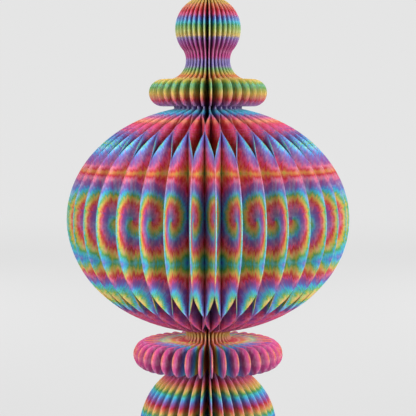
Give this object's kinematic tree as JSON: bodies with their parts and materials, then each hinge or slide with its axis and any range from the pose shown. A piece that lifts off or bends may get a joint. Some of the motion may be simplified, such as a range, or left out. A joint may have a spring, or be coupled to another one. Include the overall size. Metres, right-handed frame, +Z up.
{
  "type": "paper finial ornament",
  "caption": "Hanging finial of die-cut tie-dye card leaves fanned round a bound spine, with a small ball, thin discs, a broad honeycomb bulb and a lower ball.",
  "frame": {"origin": "on the spine's axis, at the upper mouth of the hanging bore", "axes": "+Z up along the spine, -Y towards the picture's camera"},
  "size_m": [0.1414, 0.1414, 0.2524],
  "materials": {
    "printed_card": "matte print",
    "binding_paper": "matte"
  },
  "bodies": {
    "root": {"leaf_pair_01": "printed_card", "leaf_pair_02": "printed_card", "leaf_pair_03": "printed_card", "leaf_pair_04": "printed_card", "leaf_pair_05": "printed_card", "leaf_pair_06": "printed_card", "leaf_pair_07": "printed_card", "leaf_pair_08": "printed_card", "leaf_pair_09": "printed_card", "leaf_pair_10": "printed_card", "leaf_pair_11": "printed_card", "leaf_pair_12": "printed_card", "leaf_pair_13": "printed_card", "leaf_pair_14": "printed_card", "leaf_pair_15": "printed_card", "leaf_pair_16": "printed_card", "leaf_pair_17": "printed_card", "leaf_pair_18": "printed_card", "leaf_pair_19": "printed_card", "leaf_pair_20": "printed_card", "leaf_pair_21": "printed_card", "leaf_pair_22": "printed_card", "leaf_pair_23": "printed_card", "leaf_pair_24": "printed_card", "leaf_pair_25": "printed_card", "leaf_pair_26": "printed_card", "leaf_pair_27": "printed_card", "leaf_pair_28": "printed_card", "leaf_pair_29": "printed_card", "leaf_pair_30": "printed_card", "leaf_pair_31": "printed_card", "leaf_pair_32": "printed_card", "leaf_pair_33": "printed_card", "leaf_pair_34": "printed_card", "leaf_pair_35": "printed_card", "leaf_pair_36": "printed_card", "spine_binding": "binding_paper"}
  },
  "joints": []
}
